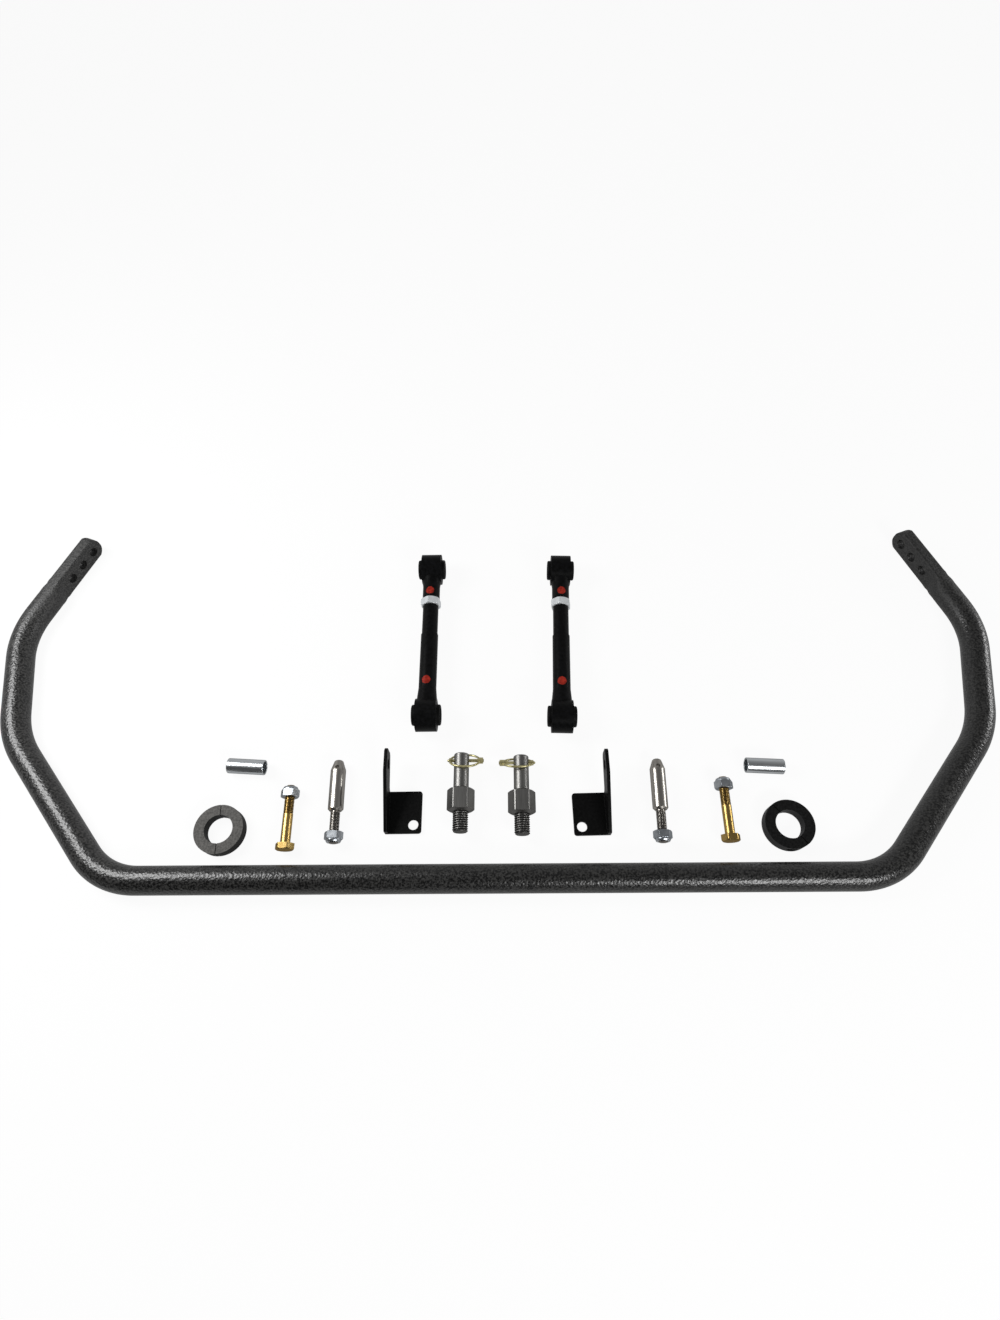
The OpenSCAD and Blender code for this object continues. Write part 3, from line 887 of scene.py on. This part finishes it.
def build_world():
    world = bpy.data.worlds.new("studio")
    bpy.context.scene.world = world
    world.use_nodes = True
    tree = world.node_tree
    back = tree.nodes["Background"]
    way = parts_of(tree, tree.nodes.new("ShaderNodeTexCoord").outputs["Generated"])
    behind = map_range(tree, way["Y"], *SKY_BEHIND)
    height = map_range(tree, way["Z"], *SKY_HEIGHT)
    light = math_step(tree, "MULTIPLY", behind, height)
    ray = tree.nodes.new("ShaderNodeLightPath").outputs
    seen = math_step(tree, "MAXIMUM", ray["Is Camera Ray"], ray["Is Transmission Ray"])
    tree.links.new(math_step(tree, "MAXIMUM", seen, light), back.inputs["Strength"])
    back.inputs["Color"].default_value = WHITE


build_world()

# soft boxes: name, place, what it looks at, width and depth in metres, watts
SOFT_BOXES = [
    ("left_high", (-0.72, 0.12, 0.62), (-0.4, -0.03, 0.0), 0.34, 0.45, 6.0),
    ("front_right", (0.8, -1.17, 0.9), (0.25, -0.2, 0.0), 0.8, 0.3, 14.0),
    ("right_low", (1.71, 0.33, 0.46), (0.5, 0.0, 0.0), 0.5, 0.3, 5.0),
]


def soft_box(name, at, target, wide, deep, power):
    lamp = bpy.data.lights.new(name, "AREA")
    lamp.shape = "RECTANGLE"
    lamp.size = wide
    lamp.size_y = deep
    lamp.energy = power
    obj = add_object(name, lamp)
    obj.location = at
    obj.rotation_euler = (Vector(target) - Vector(at)).to_track_quat("-Z", "Y").to_euler()


for box in SOFT_BOXES:
    soft_box(*box)


# camera of the photo
def build_camera():
    lens = bpy.data.cameras.new("photo_camera")
    lens.sensor_fit = "AUTO"
    lens.sensor_width = 36.0
    lens.lens = 19.2087
    lens.clip_start = 0.01
    lens.clip_end = 50.0
    camera = add_object("photo_camera", lens)
    right = Vector((0.99993497, -0.00383197, -0.01074077))
    up = Vector((0.00829235, 0.89088464, 0.45415393))
    ahead = Vector((-0.00782848, 0.45421347, -0.89085849))
    spot = Vector((0.011515, -0.321483, 0.724360))
    camera.matrix_world = Matrix((
        (right.x, up.x, -ahead.x, spot.x),
        (right.y, up.y, -ahead.y, spot.y),
        (right.z, up.z, -ahead.z, spot.z),
        (0, 0, 0, 1),
    ))
    bpy.context.scene.camera = camera


build_camera()
bpy.context.scene.view_settings.view_transform = "Standard"
